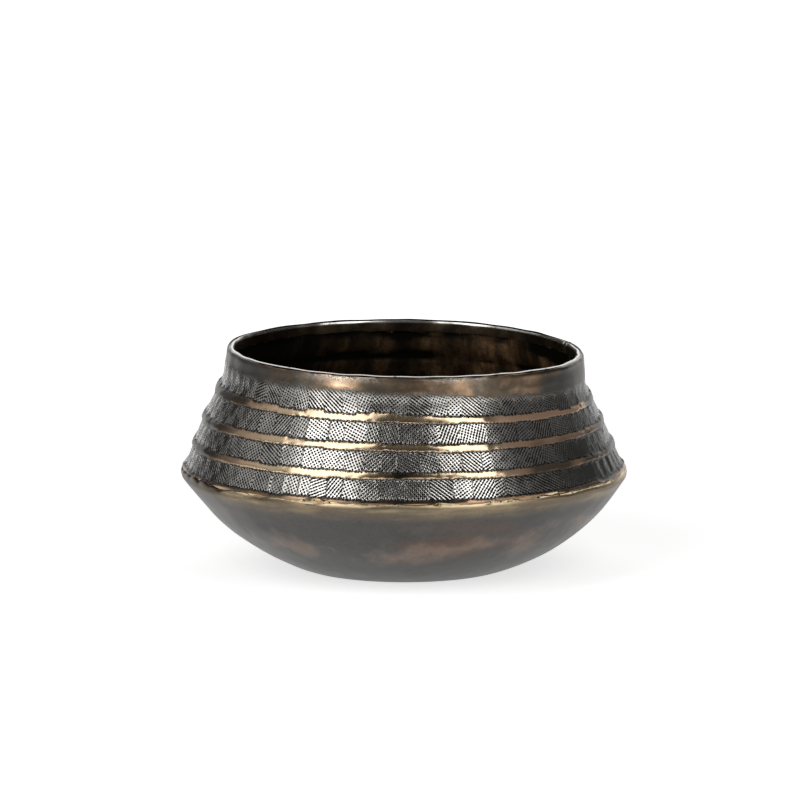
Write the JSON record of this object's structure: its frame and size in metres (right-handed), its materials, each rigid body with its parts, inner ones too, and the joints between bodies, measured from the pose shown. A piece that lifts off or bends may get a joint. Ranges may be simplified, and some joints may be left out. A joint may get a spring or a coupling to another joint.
{
  "type": "hammered copper bowl",
  "caption": "Wide-shouldered round bowl in dark hammered copper, with cross-hatched bands above a smooth lower pan, a banded mouth and a flat to stand on.",
  "frame": {"origin": "centre of the flat that the bowl stands on", "axes": "+Z is the bowl's axis, from the flat up to the mouth; -Y is the front"},
  "size_m": [0.3, 0.3, 0.148],
  "materials": {
    "pan_copper": "smooth satin, dark gunmetal-brown patina with reddish blotches",
    "wall_copper": "hammered and cross-hatched, black patina in the hatching, worn bright on the ridges",
    "rim_copper": "dark satin patina with a thin bright worn edge",
    "braze": "uneven golden braze with dark pits"
  },
  "bodies": {
    "root": {"base_pan": "pan_copper", "body_wall": "wall_copper", "rim_band": "rim_copper", "shoulder_braze": "braze", "rim_braze": "braze", "wall_seam_braze": "braze", "rim_butt_braze": "braze"}
  },
  "joints": []
}
